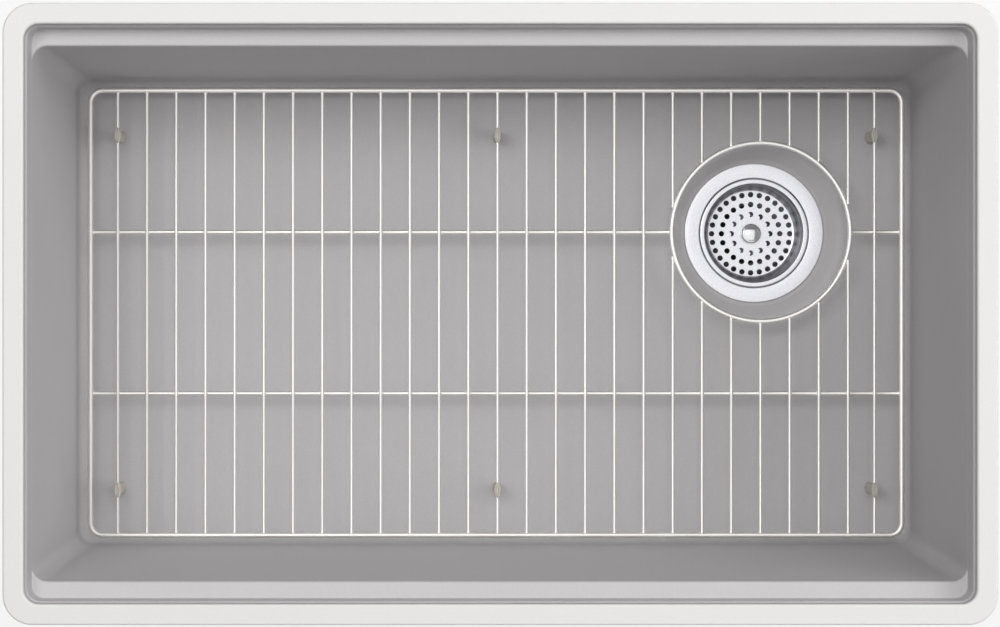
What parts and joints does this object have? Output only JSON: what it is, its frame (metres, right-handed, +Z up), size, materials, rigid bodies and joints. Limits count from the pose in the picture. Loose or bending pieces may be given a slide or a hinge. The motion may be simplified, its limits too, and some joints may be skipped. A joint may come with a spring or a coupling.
{
  "type": "undermount workstation sink",
  "caption": "Rectangular undermount kitchen sink in grey granite composite with ledges at the front and rear, a lift-out wire bottom grid and a basket strainer.",
  "frame": {"origin": "centre of the rim's flat top, in the plane that meets the worktop's underside", "axes": "+Z up out of the bowl, +X along the length to the drain's side, +Y to the rear"},
  "size_m": [0.736, 0.46, 0.3977],
  "materials": {
    "composite": "matte",
    "grid_wire": "satin",
    "strainer_steel": "satin",
    "polished_steel": "polished",
    "foot_rubber": "matte",
    "black_rubber": "matte",
    "fibre": "matte",
    "nut_brass": "satin",
    "chromed_brass": "polished",
    "white_plastic": "matte"
  },
  "bodies": {
    "sink": {"sink_bowl": "composite", "strainer_body": "strainer_steel", "flange_seal": "white_plastic", "rubber_gasket": "black_rubber", "friction_ring": "fibre", "lock_nut": "nut_brass", "tailpiece_washer": "white_plastic", "coupling_nut": "chromed_brass", "tailpiece": "chromed_brass"},
    "grid": {"grid_frame": "grid_wire", "grid_drain_ring": "grid_wire", "grid_crossbar_front": "grid_wire", "grid_crossbar_rear": "grid_wire", "grid_bar_01": "grid_wire", "grid_bar_02": "grid_wire", "grid_bar_03": "grid_wire", "grid_bar_04": "grid_wire", "grid_bar_05": "grid_wire", "grid_bar_06": "grid_wire", "grid_bar_07": "grid_wire", "grid_bar_08": "grid_wire", "grid_bar_09": "grid_wire", "grid_bar_10": "grid_wire", "grid_bar_11": "grid_wire", "grid_bar_12": "grid_wire", "grid_bar_13": "grid_wire", "grid_bar_14": "grid_wire", "grid_bar_15": "grid_wire", "grid_bar_16": "grid_wire", "grid_bar_17": "grid_wire", "grid_bar_18": "grid_wire", "grid_bar_19": "grid_wire", "grid_bar_20": "grid_wire", "grid_bar_21": "grid_wire", "grid_bar_22": "grid_wire", "grid_bar_23": "grid_wire", "grid_bar_24": "grid_wire", "grid_bar_25": "grid_wire", "grid_bar_26": "grid_wire", "grid_bar_27": "grid_wire", "grid_foot_front_left": "foot_rubber", "grid_foot_front_middle": "foot_rubber", "grid_foot_front_right": "foot_rubber", "grid_foot_rear_left": "foot_rubber", "grid_foot_rear_middle": "foot_rubber", "grid_foot_rear_right": "foot_rubber"},
    "basket": {"basket_cup": "strainer_steel", "stem_bush": "white_plastic"},
    "stopper": {"basket_knob": "polished_steel", "stopper_stem": "polished_steel", "stopper_plate": "strainer_steel", "stopper_seal": "black_rubber", "stopper_nut": "polished_steel"}
  },
  "joints": [
    {"name": "grid_lift", "type": "slide", "parent": "sink", "child": "grid", "axis": [0, 0, 1], "range_m": [0, 0.25]},
    {"name": "basket_lift", "type": "slide", "parent": "sink", "child": "basket", "axis": [0, 0, 1], "range_m": [0, 0.3]},
    {"name": "stopper_pull", "type": "slide", "parent": "basket", "child": "stopper", "axis": [0, 0, 1], "range_m": [0, 0.008]}
  ]
}
